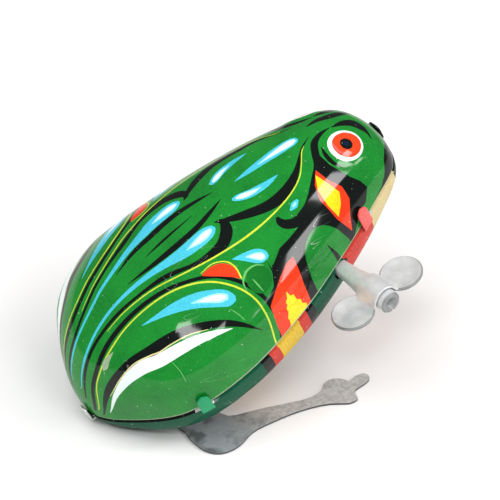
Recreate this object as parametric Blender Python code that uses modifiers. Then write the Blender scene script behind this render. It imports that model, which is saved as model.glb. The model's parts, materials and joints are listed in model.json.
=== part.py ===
"""Tin wind-up jumping frog, built as an assembly of separate pieces.

Lengths in this file are millimetres and turn into metres where meshes are made.
The body frame has its origin at the tail tip: x runs forward along the seam of the
two shells, y to the frog's left, z square to the seam.  The whole body stands
nose-up by PITCH on its rump and on the soles of its two flat hind legs.
"""
import math

import bmesh
import bpy
from mathutils import Matrix, Vector

MM = 0.001

# Stance: where the tail tip stands, and how far the body is pitched nose-up.
TAIL_TIP = (-35.34, 2.64, 3.24)
PITCH = math.radians(26.5)

# Body shells, at nine stations spaced evenly in the angle phi along the length.
LENGTH = 80.0
HALF_WIDTH = (0.0, 8.8, 19.5, 22.8, 20.7, 17.0, 13.0, 9.2, 0.0)
DOME_HEIGHT = (0.0, 9.8, 14.6, 18.2, 19.2, 17.2, 13.4, 8.4, 0.0)
PAN_DEPTH = (0.0, 5.3, 9.2, 10.4, 10.8, 10.4, 8.6, 4.6, 0.0)
SEAM_LIFT = (0.0, 0.6, 1.8, 1.6, 0.0, -0.4, -0.2, 0.0, 0.0)
DOME_POWER = (2.25, 2.25, 2.25, 2.25, 2.25, 2.2, 2.05, 2.0, 2.0)
PAN_POWER = 2.8
TIN = 0.35
ROWS = 28
DOME_COLUMNS = 20
PAN_COLUMNS = 12

# The pan's rim tucks inside the dome, then steps out below the dome's edge.
RIM_INSET = 0.75
RIM_TOP = 0.9
RIM_FOOT = -0.35
STEP_DOWN = 0.9
STEP_OUT = 0.1

# Pressed relief of the dome: (x, angle, half length, half angle, height).
RELIEFS = ((17.0, 26.0, 18.0, 24.0, 0.7), (70.5, 57.0, 5.2, 17.0, 0.5))

# Fold-over tabs of the pan: (phi in degrees, side, width, height over the seam).
TABS = ((0, -1, 2.6, 2.0), (51.5, -1, 2.7, 2.8), (51.5, 1, 2.7, 2.8), (126, -1, 3.0, 3.8),
        (126, 1, 3.0, 3.8), (180, -1, 3.4, 2.0))
TAB_GAP = 0.4
TAB_TIN = 0.4

# Clockwork: two plates, three arbors in a row, and a star wheel that kicks the legs.
PLATE_Y = 8.2
PLATE_THICK = 0.8
MODULE = 0.4
GREAT_TEETH, SECOND_LEAVES, SECOND_TEETH, CAM_LEAVES = 28, 14, 30, 12
RUNNING_GAP = 0.06
WIND_AXIS = (53.5, -2.2)
SECOND_AXIS = (45.115, -1.7)
CAM_AXIS = (36.717, -1.5)
LEG_AXIS = (16.0, -4.0)
WIND_R, ARBOR_R, LEG_AXLE_R = 0.9, 0.6, 0.8
STAR_R, STAR_POINTS = 7.0, 3
LEVER_REACH = 13.6
PILLARS = {"pillar_front": (60.6, -1.4), "pillar_top": (47.0, 6.8), "pillar_rear": (22.0, 3.6)}
PILLAR_R = 0.9
LUGS = (25.0, 49.0)
LUG_WIDTH = 2.4

# Key: a rolled barrel with two round wings.
KEY_Y = (-16.4, -22.0, -23.2, -32.4)
KEY_BARREL_R, KEY_GRIP_R = 1.7, 2.25
WING_Y, WING_REACH, WING_R, WING_THICK = -28.2, 6.3, 4.3, 0.6
WING_TILT = math.radians(8.0)
NECK_HALF = 2.9
KEY_HOLE_R = 2.2

# Hind legs: flat plates on the floor with an ear that rises to the leg axle.
LEG_THICK = 0.5
EAR_Y = 12.8
EAR_WIDTH = 7.0
LEG_OUTLINE = (
    (12.9, -14.0), (12.3, -16.5), (12.2, -19.5), (12.8, -21.9), (14.4, -23.6), (17.0, -24.1),
    (19.6, -23.6), (22.0, -22.6), (24.4, -22.1), (28.0, -22.2), (32.1, -22.5), (36.4, -23.3),
    (40.4, -24.8), (43.4, -27.0), (45.6, -27.0), (46.2, -25.5), (47.2, -24.5), (49.4, -24.2),
    (51.3, -23.7), (52.1, -22.6), (51.6, -21.5), (49.8, -21.2), (47.8, -21.8), (47.3, -20.4),
    (45.8, -19.1), (43.8, -19.2), (42.2, -20.6), (38.4, -21.0), (34.4, -19.8), (29.6, -18.0),
    (25.5, -16.8), (22.3, -15.5), (20.3, -11.9), (13.2, -11.9))

# Paints and metals: (colour, metallic, roughness).
FINISHES = {
    "green_litho": ((0.02, 0.27, 0.03), 0.0, 0.2),
    "pan_litho": ((0.02, 0.16, 0.09), 0.0, 0.25),
    "bright_tin": ((0.72, 0.73, 0.74), 0.9, 0.3),
    "leg_steel": ((0.5, 0.51, 0.52), 0.9, 0.4),
    "works_steel": ((0.55, 0.55, 0.56), 1.0, 0.35),
    "works_brass": ((0.75, 0.58, 0.28), 1.0, 0.35),
    "spring_steel": ((0.2, 0.22, 0.28), 1.0, 0.3),
}


def clear_scene():
    for item in list(bpy.data.objects):
        bpy.data.objects.remove(item, do_unlink=True)


def collection(name):
    made = bpy.data.collections.new(name)
    bpy.context.scene.collection.children.link(made)
    return made


def finish(name):
    """One Principled material for each named finish."""
    if name in bpy.data.materials:
        return bpy.data.materials[name]
    colour, metallic, roughness = FINISHES[name]
    made = bpy.data.materials.new(name)
    made.use_nodes = True
    shader = made.node_tree.nodes["Principled BSDF"]
    shader.inputs["Base Color"].default_value = (*colour, 1.0)
    shader.inputs["Metallic"].default_value = metallic
    shader.inputs["Roughness"].default_value = roughness
    return made


# ------------------------------------------------------------------ shell surfaces

def station_value(values, phi):
    """Smooth curve through evenly spaced stations (Catmull-Rom)."""
    last = len(values) - 1
    t = min(max(phi / math.pi, 0.0), 1.0) * last
    i = min(int(t), last - 1)
    f = t - i
    p1, p2 = values[i], values[i + 1]
    p0 = values[i - 1] if i > 0 else 2 * p1 - p2
    p3 = values[i + 2] if i + 2 <= last else 2 * p2 - p1
    slope1, slope2 = (p2 - p0) / 2, (p3 - p1) / 2
    return ((2 * f**3 - 3 * f**2 + 1) * p1 + (f**3 - 2 * f**2 + f) * slope1
            + (3 * f**2 - 2 * f**3) * p2 + (f**3 - f**2) * slope2)


def super_section(theta, power):
    """Point of a unit superellipse: y from -1 on the right to 1 on the left, and height."""
    c, s = math.cos(theta), math.sin(theta)
    return -math.copysign(abs(c) ** (2 / power), c), abs(s) ** (2 / power)


def relief(x, theta):
    """Height of the pressed thighs and eyes, the same on both sides."""
    angle = min(math.degrees(theta), 180 - math.degrees(theta))
    total = 0.0
    for centre_x, centre_a, half_x, half_a, height in RELIEFS:
        d = math.hypot((x - centre_x) / half_x, (angle - centre_a) / half_a)
        if d < 1:
            total += height * (1 - d * d) ** 2
    return total


def dome_point(phi, theta):
    x = (1 - math.cos(phi)) / 2 * LENGTH
    side, up = super_section(theta, station_value(DOME_POWER, phi))
    y = side * station_value(HALF_WIDTH, phi)
    z = up * station_value(DOME_HEIGHT, phi)
    reach = math.hypot(y, z)
    if reach > 0:
        grow = 1 + relief(x, theta) / reach
        y, z = y * grow, z * grow
    return x, y, z + station_value(SEAM_LIFT, phi)


def pan_section(phi):
    """One cross-section of the pan, from the right rim round to the left rim."""
    x = (1 - math.cos(phi)) / 2 * LENGTH
    width = station_value(HALF_WIDTH, phi)
    seam = station_value(SEAM_LIFT, phi)
    depth = max(station_value(PAN_DEPTH, phi) - STEP_DOWN, 0.0)
    half = LENGTH / 2
    inset_x = half + (x - half) * (1 - RIM_INSET / half)
    inset_y = width * (1 - RIM_INSET / max(HALF_WIDTH))
    wide = width * (1 + STEP_OUT / max(HALF_WIDTH))
    rim = [(inset_x, -inset_y, seam + RIM_TOP), (inset_x, -inset_y, seam + RIM_FOOT)]
    points = list(rim)
    for column in range(PAN_COLUMNS + 1):
        side, down = super_section(math.pi * column / PAN_COLUMNS, PAN_POWER)
        points.append((x, side * wide, seam - STEP_DOWN - down * depth))
    points += [(px, -py, pz) for px, py, pz in reversed(rim)]
    return points


def grid_mesh(name, rows):
    """Mesh from rows of points, with the rows that shrink to a point welded."""
    mesh = bpy.data.meshes.new(name)
    across = len(rows[0])
    points = [Vector(p) * MM for row in rows for p in row]
    faces = [(r * across + c, r * across + c + 1, (r + 1) * across + c + 1, (r + 1) * across + c)
             for r in range(len(rows) - 1) for c in range(across - 1)]
    mesh.from_pydata(points, [], faces)
    work = bmesh.new()
    work.from_mesh(mesh)
    bmesh.ops.remove_doubles(work, verts=work.verts, dist=0.002 * MM)
    bmesh.ops.dissolve_degenerate(work, edges=work.edges, dist=0.001 * MM)
    work.to_mesh(mesh)
    work.free()
    return mesh


# ------------------------------------------------------------------ object helpers

class Workshop:
    """Keeps the collections and the frames that new objects go into."""

    def __init__(self):
        self.parts = collection("tin_jumping_frog")
        self.cutters = collection("cutters")
        self.body = self.frame("body_frame", TAIL_TIP, (0, -PITCH, 0))
        hinge = self.to_floor(LEG_AXIS[0], 0, LEG_AXIS[1])
        self.legs = self.frame("leg_pivot", hinge, (0, 0, 0))

    def frame(self, name, place, turn):
        empty = bpy.data.objects.new(name, None)
        empty.location = Vector(place) * MM
        empty.rotation_euler = turn
        self.parts.objects.link(empty)
        return empty

    def to_floor(self, x, y, z):
        """A body-frame point in the upright frame that the model stands in."""
        turned = Matrix.Rotation(-PITCH, 3, "Y") @ Vector((x, y, z))
        return tuple(turned + Vector(TAIL_TIP))

    def add(self, name, data, look=None, place=(0, 0, 0), turn=(0, 0, 0), parent=None):
        made = bpy.data.objects.new(name, data)
        made.location = Vector(place) * MM
        made.rotation_euler = turn
        made.parent = parent or self.body
        (self.parts if look else self.cutters).objects.link(made)
        if look:
            made.data.materials.clear()
            made.data.materials.append(finish(look))
        else:
            made.hide_render = True
            made.display_type = "WIRE"
        return made


SIDEWAYS = (math.pi / 2, 0, 0)   # local x, y -> body x, z; local z -> the frog's right


def smooth(mesh, angle=35):
    mesh.shade_smooth()
    mesh.set_sharp_from_angle(angle=math.radians(angle))
    return mesh


def flat_mesh(name, outlines, thick):
    """A flat plate from closed outlines (the first outside, the rest holes)."""
    curve = bpy.data.curves.new(name, "CURVE")
    curve.dimensions = "2D"
    curve.fill_mode = "BOTH"
    curve.extrude = thick / 2 * MM
    for outline in outlines:
        spline = curve.splines.new("POLY")
        spline.points.add(len(outline) - 1)
        for point, (x, y) in zip(spline.points, outline):
            point.co = (x * MM, y * MM, 0, 1)
        spline.use_cyclic_u = True
    return welded(name, curve)


def welded(name, curve):
    """The closed mesh that a curve makes; the curve and its carrier go away."""
    carrier = bpy.data.objects.new(name, curve)
    bpy.context.scene.collection.objects.link(carrier)
    view = bpy.context.evaluated_depsgraph_get()
    view.update()
    mesh = bpy.data.meshes.new_from_object(carrier.evaluated_get(view))
    bpy.data.objects.remove(carrier, do_unlink=True)
    work = bmesh.new()
    work.from_mesh(mesh)
    bmesh.ops.remove_doubles(work, verts=work.verts, dist=0.002 * MM)
    bmesh.ops.recalc_face_normals(work, faces=work.faces)
    work.to_mesh(mesh)
    work.free()
    mesh.name = name
    return mesh


def wire_mesh(name, path, radius):
    curve = bpy.data.curves.new(name, "CURVE")
    curve.dimensions = "3D"
    curve.bevel_depth = radius * MM
    curve.bevel_resolution = 2
    curve.use_fill_caps = True
    spline = curve.splines.new("POLY")
    spline.points.add(len(path) - 1)
    for point, place in zip(spline.points, path):
        point.co = (*(Vector(place) * MM), 1)
    return smooth(welded(name, curve))


def circle(radius, sides=20, centre=(0, 0), start=0.0):
    return [(centre[0] + radius * math.cos(start + math.tau * i / sides),
             centre[1] + radius * math.sin(start + math.tau * i / sides)) for i in range(sides)]


def arc(centre, radius, start, end, steps):
    return [(centre[0] + radius * math.cos(math.radians(start + (end - start) * i / steps)),
             centre[1] + radius * math.sin(math.radians(start + (end - start) * i / steps)))
            for i in range(steps + 1)]


def rounded_loop(points, per_span=2):
    """Closed Catmull-Rom curve through the points of an outline."""
    out = []
    count = len(points)
    for i in range(count):
        p0, p1, p2, p3 = (Vector(points[(i + k) % count]) for k in (-1, 0, 1, 2))
        for step in range(per_span):
            f = step / per_span
            out.append(tuple(0.5 * (2 * p1 + (p2 - p0) * f + (2 * p0 - 5 * p1 + 4 * p2 - p3) * f**2
                                    + (3 * p1 - p0 - 3 * p2 + p3) * f**3)))
    return out


def turned(shop, name, profile, sides, look, **where):
    """A turned piece: (radius, height) points down its outer side, spun about local z."""
    mesh = bpy.data.meshes.new(name)
    mesh.from_pydata([(r * MM, 0, h * MM) for r, h in profile],
                     [(i, i + 1) for i in range(len(profile) - 1)], [])
    made = shop.add(name, mesh, look, **where)
    spin = made.modifiers.new("spin", "SCREW")
    spin.steps = spin.render_steps = sides
    spin.use_merge_vertices = True
    spin.merge_threshold = 0.00001
    return made


def boolean(target, other, operation):
    step = target.modifiers.new(operation.lower(), "BOOLEAN")
    step.operation = operation
    step.solver = "EXACT"
    step.object = other


def box_cutter(shop, name, low, high, parent=None):
    mesh = bpy.data.meshes.new(name)
    work = bmesh.new()
    bmesh.ops.create_cube(work, size=1.0)
    size = [(b - a) * MM for a, b in zip(low, high)]
    bmesh.ops.scale(work, vec=size, verts=work.verts)
    work.to_mesh(mesh)
    work.free()
    centre = [(a + b) / 2 for a, b in zip(low, high)]
    return shop.add(name, mesh, place=centre, parent=parent)


def rod_cutter(shop, name, radius, y_from, y_to, axis, parent=None):
    mesh = bpy.data.meshes.new(name)
    work = bmesh.new()
    bmesh.ops.create_cone(work, cap_ends=True, segments=24, radius1=radius * MM,
                          radius2=radius * MM, depth=abs(y_to - y_from) * MM)
    work.to_mesh(mesh)
    work.free()
    place = (axis[0], (y_from + y_to) / 2, axis[1])
    return shop.add(name, mesh, place=place, turn=SIDEWAYS, parent=parent)


# ------------------------------------------------------------------ casing

def solidify(target):
    wall = target.modifiers.new("wall", "SOLIDIFY")
    wall.thickness = TIN * MM
    wall.offset = -1
    wall.use_even_offset = True
    wall.thickness_clamp = 1.0


def upper_shell(shop):
    rows = [[dome_point(math.pi * r / ROWS, math.pi * c / DOME_COLUMNS)
             for c in range(DOME_COLUMNS + 1)] for r in range(ROWS + 1)]
    made = shop.add("upper_shell", smooth(grid_mesh("upper_shell", rows), 50), "green_litho")
    solidify(made)


def tab_profile(height):
    """Section of a fold-over tab: outwards from the pan's wall, then up over the dome."""
    inner, outer = TAB_GAP, TAB_GAP + TAB_TIN
    low = -STEP_DOWN - 0.9
    return [(-0.6, low), (outer, low), (outer, height), (inner, height),
            (inner, low + TAB_TIN), (-0.6, low + TAB_TIN)]


def pan_tab(shop, number, phi_degrees, side, width, height):
    phi = math.radians(phi_degrees)
    nudge = 0.01
    x, y, z = dome_point(phi, 0 if side < 0 else math.pi)
    ahead = Vector(dome_point(phi + nudge, 0 if side < 0 else math.pi))
    behind = Vector(dome_point(phi - nudge, 0 if side < 0 else math.pi))
    along = (ahead - behind).to_2d().normalized() if 0 < phi_degrees < 180 else Vector((0, 1))
    out = Vector((along.y, -along.x)) * -side
    if phi_degrees in (0, 180):
        out = Vector((-1 if phi_degrees == 0 else 1, 0))
    name = f"tab_{number}"
    made = shop.add(name, flat_mesh(name, [tab_profile(height)], width), place=(x, y, z))
    basis = Matrix((out.to_3d(), Vector((0, 0, 1)), out.to_3d().cross(Vector((0, 0, 1)))))
    made.rotation_euler = basis.transposed().to_euler()
    return made


def lower_shell(shop):
    rows = [pan_section(math.pi * r / ROWS) for r in range(ROWS + 1)]
    mesh = grid_mesh("lower_shell", rows)
    mesh.flip_normals()
    made = shop.add("lower_shell", smooth(mesh, 50), "pan_litho")
    solidify(made)
    for number, tab in enumerate(TABS):
        boolean(made, pan_tab(shop, number, *tab), "UNION")
    hole = rod_cutter(shop, "key_hole", KEY_HOLE_R, -12, -24, WIND_AXIS)
    boolean(made, hole, "DIFFERENCE")
    for side in (-1, 1):
        y = side * EAR_Y
        slot = box_cutter(shop, f"ear_slot_{side}", (10.6, y - 0.9, -12), (23.5, y + 0.9, -4.2))
        boolean(made, slot, "DIFFERENCE")
        for x in LUGS:
            y = side * PLATE_Y
            half = LUG_WIDTH / 2 + 0.35
            slot = box_cutter(shop, f"lug_slot_{x}_{side}", (x - half, y - 0.75, -13),
                              (x + half, y + 0.75, -7.0))
            boolean(made, slot, "DIFFERENCE")


# ------------------------------------------------------------------ clockwork

def plate_outline():
    """Outline of a movement plate with its two lugs, counted from the rear."""
    low, foot = -6.2, -11.0
    half = LUG_WIDTH / 2
    points = [(13.2, low + 1.5), (14.6, low)]
    for x in LUGS:
        points += [(x - half, low), (x - half, foot), (x + half, foot), (x + half, low)]
    points += [(60.0, low + 0.6), (62.4, low + 3.4), (62.4, 0.4), (60.6, 1.6)]
    points += arc((47.0, 6.8), 2.0, 20, 150, 5)
    points += arc((22.0, 3.6), 2.0, 80, 180, 4)
    return points + [(13.2, -1.8)]


def movement_plate(shop, side):
    holes = [circle(WIND_R + RUNNING_GAP, centre=WIND_AXIS)]
    holes += [circle(ARBOR_R + RUNNING_GAP, centre=axis) for axis in (SECOND_AXIS, CAM_AXIS)]
    holes += [circle(LEG_AXLE_R + RUNNING_GAP, centre=LEG_AXIS)]
    holes += [circle(PILLAR_R * 0.6 + RUNNING_GAP, 16, centre=place) for place in PILLARS.values()]
    name = "movement_plate_right" if side < 0 else "movement_plate_left"
    mesh = flat_mesh(name, [plate_outline(), *holes], PLATE_THICK)
    shop.add(name, mesh, "works_steel", place=(0, side * PLATE_Y, 0), turn=SIDEWAYS)


def pillar(shop, name, place):
    """Spacer between the plates, with a thinner riveted end through each plate."""
    shoulder = PLATE_Y - PLATE_THICK / 2 - 0.1
    end = PLATE_Y + PLATE_THICK / 2 + 0.5
    thin = PILLAR_R * 0.6
    profile = [(0, end), (thin, end), (thin, shoulder), (PILLAR_R, shoulder),
               (PILLAR_R, -shoulder), (thin, -shoulder), (thin, -end), (0, -end)]
    turned(shop, name, profile, 16, "works_steel", place=(place[0], 0, place[1]), turn=SIDEWAYS)


def rod(shop, name, radius, y_from, y_to, axis, look, parent=None, sides=20):
    """A plain arbor with slightly broken ends, spun about its own axis."""
    half = abs(y_to - y_from) / 2
    rim = 0.15
    profile = [(0, half), (radius - rim, half), (radius, half - rim),
               (radius, rim - half), (radius - rim, -half), (0, -half)]
    turned(shop, name, profile, sides, look, turn=SIDEWAYS, parent=parent,
           place=(axis[0], (y_from + y_to) / 2, axis[1]))


def gear_outline(teeth, phase=0.0):
    """Straight-flanked teeth, thinner than their gaps so that the wheels run free."""
    pitch_r = MODULE * teeth / 2
    root, tip = pitch_r - 1.15 * MODULE, pitch_r + 0.8 * MODULE
    pitch = math.tau / teeth
    points = []
    for tooth in range(teeth):
        middle = phase + tooth * pitch
        for radius, share in ((root, -0.26), (tip, -0.1), (tip, 0.1), (root, 0.26)):
            angle = middle + share * pitch
            points.append((radius * math.cos(angle), radius * math.sin(angle)))
    return points


def heading(start, end):
    return math.atan2(end[1] - start[1], end[0] - start[0])


def wheel(shop, name, outline, bore, y_from, y_to, axis, look, extra=()):
    mesh = flat_mesh(name, [outline, circle(bore + RUNNING_GAP), *extra], abs(y_to - y_from))
    place = (axis[0], (y_from + y_to) / 2, axis[1])
    return shop.add(name, mesh, look, place=place, turn=SIDEWAYS)


def spokes(inner, outer, count):
    """Rounded windows that leave a wheel's spokes."""
    windows = []
    span = 360 / count
    for i in range(count):
        start, end = i * span + 14, (i + 1) * span - 14
        windows.append(arc((0, 0), outer, start, end, 5) + arc((0, 0), inner, end, start, 3))
    return windows


def saw_outline(teeth, root, tip):
    points = []
    for tooth in range(teeth):
        angle = math.tau * tooth / teeth
        points.append((tip * math.cos(angle), tip * math.sin(angle)))
        points.append((root * math.cos(angle), root * math.sin(angle)))
    return points


def star_outline():
    """Three hooked points that lift the leg lever and let it snap back."""
    hub = 3.0
    points = []
    for i in range(STAR_POINTS):
        start = 360 * i / STAR_POINTS
        points += arc((0, 0), hub, start + 20, start + 92, 5)
        points += arc((0, 0), STAR_R, start + 114, start + 122, 2)
    return points


def gear_train(shop):
    """Great wheel, second arbor and star arbor, set in mesh at rest."""
    to_second = heading(WIND_AXIS, SECOND_AXIS)
    to_cam = heading(SECOND_AXIS, CAM_AXIS)
    rivet_hole = circle(0.45, 12, centre=(0, 4.25))
    wheel(shop, "great_wheel", gear_outline(GREAT_TEETH, to_second), WIND_R, -6.4, -5.6,
          WIND_AXIS, "works_brass", extra=[rivet_hole])
    pinion_phase = to_second + math.pi + math.pi / SECOND_LEAVES
    wheel(shop, "second_pinion", gear_outline(SECOND_LEAVES, pinion_phase), ARBOR_R, -7.2, -5.2,
          SECOND_AXIS, "works_brass")
    wheel(shop, "second_wheel", gear_outline(SECOND_TEETH, to_cam), ARBOR_R, 4.4, 5.2,
          SECOND_AXIS, "works_brass", extra=spokes(1.8, 4.6, 4))
    cam_phase = to_cam + math.pi + math.pi / CAM_LEAVES
    wheel(shop, "star_pinion", gear_outline(CAM_LEAVES, cam_phase), ARBOR_R, 3.8, 5.8,
          CAM_AXIS, "works_brass")
    wheel(shop, "star_wheel", star_outline(), ARBOR_R, -1.0, 0.4, CAM_AXIS, "works_steel")
    rod(shop, "second_arbor", ARBOR_R, -9.3, 9.3, SECOND_AXIS, "works_steel")
    rod(shop, "star_arbor", ARBOR_R, -9.3, 9.3, CAM_AXIS, "works_steel")


def winding_works(shop):
    """Arbor, ratchet and click that hold what the key has wound."""
    rod(shop, "winding_arbor", WIND_R, -30.4, 9.5, WIND_AXIS, "works_steel")
    wheel(shop, "ratchet_wheel", saw_outline(12, 2.4, 3.1), WIND_R, -5.0, -4.2, WIND_AXIS,
          "works_steel")
    x, z = WIND_AXIS
    pivot = (x, z + 4.25)
    head = [(0, 1.2), (0.75, 1.2), (0.75, 0.75), (0.4, 0.75), (0.4, -0.85), (0, -0.85)]
    turned(shop, "click_rivet", head, 12, "works_steel", turn=(-math.pi / 2, 0, 0),
           place=(pivot[0], -5.25, pivot[1]))
    pawl = arc((0, 0), 0.95, 20, 250, 8) + [(1.9, -1.75), (2.35, -1.55), (2.2, -1.2)]
    mesh = flat_mesh("click", [pawl, circle(0.4 + RUNNING_GAP, 12)], 0.6)
    shop.add("click", mesh, "works_steel", place=(pivot[0], -4.95, pivot[1]), turn=SIDEWAYS)
    path = [(x - 3.9 + 0.5 * i, -4.95, z + 1.0 + 0.75 * i - 0.05 * i * i) for i in range(5)]
    shop.add("click_spring", wire_mesh("click_spring", path, 0.18), "spring_steel")


def mainspring(shop):
    """Ribbon wound outwards round the arbor, its outer end beside the front pillar."""
    turns, per_turn, inner, pitch, thick = 5, 16, 1.7, 0.68, 0.22
    count = turns * per_turn
    spiral = [(math.tau * i / per_turn, inner + pitch * i / per_turn) for i in range(count + 1)]
    outer_edge = [((r + thick) * math.cos(a), (r + thick) * math.sin(a)) for a, r in spiral]
    inner_edge = [(r * math.cos(a), r * math.sin(a)) for a, r in reversed(spiral)]
    mesh = flat_mesh("mainspring", [outer_edge + inner_edge], 6.0)
    shop.add("mainspring", mesh, "spring_steel", turn=SIDEWAYS,
             place=(WIND_AXIS[0], -0.4, WIND_AXIS[1]))


def leg_works(shop):
    """Axle, lever and torsion spring of the legs."""
    rod(shop, "leg_axle", LEG_AXLE_R, -14.2, 14.2, (0, 0), "works_steel", parent=shop.legs)
    line = heading(LEG_AXIS, CAM_AXIS) - math.radians(9.3) + PITCH
    tip = Vector((math.cos(line), math.sin(line))) * LEVER_REACH
    across = Vector((-tip.y, tip.x)).normalized()
    boss = arc((0, 0), 1.9, math.degrees(line) + 40, math.degrees(line) + 320, 12)
    near = [tuple(tip * 0.9 - across * 1.1), tuple(tip - across * 0.5)]
    far = [tuple(tip + across * 0.3), tuple(tip * 0.9 + across * 0.6)]
    mesh = flat_mesh("leg_lever", [boss + near + far, circle(LEG_AXLE_R + RUNNING_GAP)], 1.2)
    shop.add("leg_lever", mesh, "works_steel", place=(0, -0.3, 0), turn=SIDEWAYS, parent=shop.legs)
    radius, wire, per_turn = 1.6, 0.25, 10
    coil = []
    for i in range(3 * per_turn + 6):
        angle = math.radians(75) + math.tau * i / per_turn
        coil.append((LEG_AXIS[0] + radius * math.cos(angle), 2.2 + 0.75 * i / per_turn,
                     LEG_AXIS[1] + radius * math.sin(angle)))
    arm_front = [(x, 1.0, -3.0) for x in (29.0, 24.0, 19.5)] + [(16.6, 1.4, -2.4)]
    arm_rear = [(12.9, 5.0, -1.6), (16.0, 5.0, 2.6), (20.2, 5.0, 5.6), (22.4, 5.0, 5.2)]
    shop.add("leg_spring", wire_mesh("leg_spring", arm_front + coil + arm_rear, wire),
             "spring_steel")


# ------------------------------------------------------------------ key and legs

def key(shop):
    """Rolled barrel, two round wings, and a bore for the winding arbor."""
    root, neck, grip, end = (-y for y in KEY_Y)
    bore = WIND_R + RUNNING_GAP
    profile = [(KEY_GRIP_R, end - 0.4), (KEY_GRIP_R, grip), (KEY_BARREL_R, neck),
               (KEY_BARREL_R, root), (bore, root), (bore, end), (KEY_GRIP_R - 0.4, end),
               (KEY_GRIP_R, end - 0.4)]
    tilt = (math.pi / 2, WING_TILT, 0)
    made = turned(shop, "key", profile, 28, "bright_tin", turn=tilt,
                  place=(WIND_AXIS[0], 0, WIND_AXIS[1]))
    reach = math.degrees(math.asin(NECK_HALF / WING_R))
    right = arc((WING_REACH, 0), WING_R, reach - 180, 180 - reach, 18)
    left = arc((-WING_REACH, 0), WING_R, reach, 360 - reach, 18)
    wings = shop.add("key_wings", flat_mesh("key_wings", [right + left], WING_THICK),
                     place=(WIND_AXIS[0], WING_Y, WIND_AXIS[1]), turn=(0, WING_TILT, 0))
    core = rod_cutter(shop, "key_bore", bore, -15, -33.5, WIND_AXIS)
    boolean(wings, core, "DIFFERENCE")
    boolean(made, wings, "UNION")


def leg(shop, side):
    """Frog-leg plate flat on the floor, with an ear up to the axle."""
    name = "leg_right" if side < 0 else "leg_left"
    axle = Vector(shop.to_floor(LEG_AXIS[0], 0, LEG_AXIS[1]))
    tail = Vector(TAIL_TIP)
    outline = [(x + tail.x - axle.x, -side * y) for x, y in rounded_loop(LEG_OUTLINE)]
    made = shop.add(name, flat_mesh(name, [outline], LEG_THICK), "leg_steel",
                    place=(0, 0, LEG_THICK / 2 - axle.z), parent=shop.legs)
    half = EAR_WIDTH / 2
    foot = LEG_THICK * 0.3 - axle.z
    shape = [(-half + 1.2, foot), (half, foot), (half - 0.4, -2.6)] + arc((0, 0), 2.2, -20, 200, 10)
    ear_name = name + "_ear"
    ear = shop.add(ear_name, flat_mesh(ear_name, [shape, circle(LEG_AXLE_R + RUNNING_GAP)], 0.8),
                   place=(0, side * EAR_Y, 0), turn=SIDEWAYS, parent=shop.legs)
    boolean(made, ear, "UNION")


def main():
    clear_scene()
    shop = Workshop()
    upper_shell(shop)
    lower_shell(shop)
    for side in (-1, 1):
        movement_plate(shop, side)
        leg(shop, side)
    for name, place in PILLARS.items():
        pillar(shop, name, place)
    gear_train(shop)
    winding_works(shop)
    mainspring(shop)
    leg_works(shop)
    key(shop)


main()
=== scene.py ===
"""Looks of the tin wind-up jumping frog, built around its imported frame.

Lengths are millimetres in the body frame (tail tip at the origin, x forward along the
seam, y to the frog's left, z square to the seam) and turn into metres in the row frame
where meshes are made.  A place on a shell is (x, t): x along the body, t the angle in
degrees round the section, from the frog's right rim over to its left rim.
"""
import json
import math

import bmesh
import bpy
import numpy as np
from mathutils import Matrix, Vector
from mathutils.geometry import delaunay_2d_cdt


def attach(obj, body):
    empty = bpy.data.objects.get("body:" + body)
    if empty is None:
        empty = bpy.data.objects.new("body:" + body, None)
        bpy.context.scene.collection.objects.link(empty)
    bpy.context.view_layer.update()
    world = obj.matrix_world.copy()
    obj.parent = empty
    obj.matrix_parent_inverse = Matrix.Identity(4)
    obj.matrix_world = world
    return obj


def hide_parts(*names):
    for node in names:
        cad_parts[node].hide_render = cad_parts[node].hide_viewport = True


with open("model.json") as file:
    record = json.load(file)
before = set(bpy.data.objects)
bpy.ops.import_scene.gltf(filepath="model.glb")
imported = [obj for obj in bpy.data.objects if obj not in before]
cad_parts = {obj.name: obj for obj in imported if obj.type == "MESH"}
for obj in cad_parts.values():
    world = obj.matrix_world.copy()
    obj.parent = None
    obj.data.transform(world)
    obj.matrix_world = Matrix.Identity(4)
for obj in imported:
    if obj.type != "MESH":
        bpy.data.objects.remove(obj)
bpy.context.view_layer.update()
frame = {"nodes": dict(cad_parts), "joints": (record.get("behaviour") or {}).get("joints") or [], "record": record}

MM = 0.001
JOINTS = {joint["name"]: joint for joint in frame["joints"]}

# Shells: the same stations and sections as the CAD shells.
LENGTH = 80.0
HALF_WIDTH = (0.0, 8.8, 19.5, 22.8, 20.7, 17.0, 13.0, 9.2, 0.0)
DOME_HEIGHT = (0.0, 9.8, 14.6, 18.2, 19.2, 17.2, 13.4, 8.4, 0.0)
PAN_DEPTH = (0.0, 5.3, 9.2, 10.4, 10.8, 10.4, 8.6, 4.6, 0.0)
SEAM_LIFT = (0.0, 0.6, 1.8, 1.6, 0.0, -0.4, -0.2, 0.0, 0.0)
# Raised areas: (x, degrees up from the rim, half length, half angle, height).
RELIEFS = ((17.0, 26.0, 18.0, 24.0, 0.7), (70.5, 57.0, 5.2, 17.0, 0.5))
DOME_POWER = (2.25, 2.25, 2.25, 2.25, 2.25, 2.2, 2.05, 2.0, 2.0)
PAN_POWER = 2.8
TIN = 0.35
STEP_DOWN = 0.9
STEP_OUT = 0.1
RIM_INSET = 0.75
RIM_TOP = 0.9
RIM_FOOT = -0.35

# Places that the joint axes have in the body frame, as (x, z).
KEY_AXIS = (53.5, -2.2)
LEG_AXIS = (16.0, -4.0)

# Openings of the pan. An ear slot is (first x, last x, y, half width), and a lug slot is
# (half length, y, half width) at each x of the lugs.
KEY_HOLE_R = 2.2
KEY_HOLE_SIDES = 28
EAR_SLOT = (10.6, 23.5, 12.8, 0.9)
LUGS = (25.0, 49.0)
LUG_SLOT = (1.55, 8.2, 0.75)
SLOT_STEPS = 6

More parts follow.
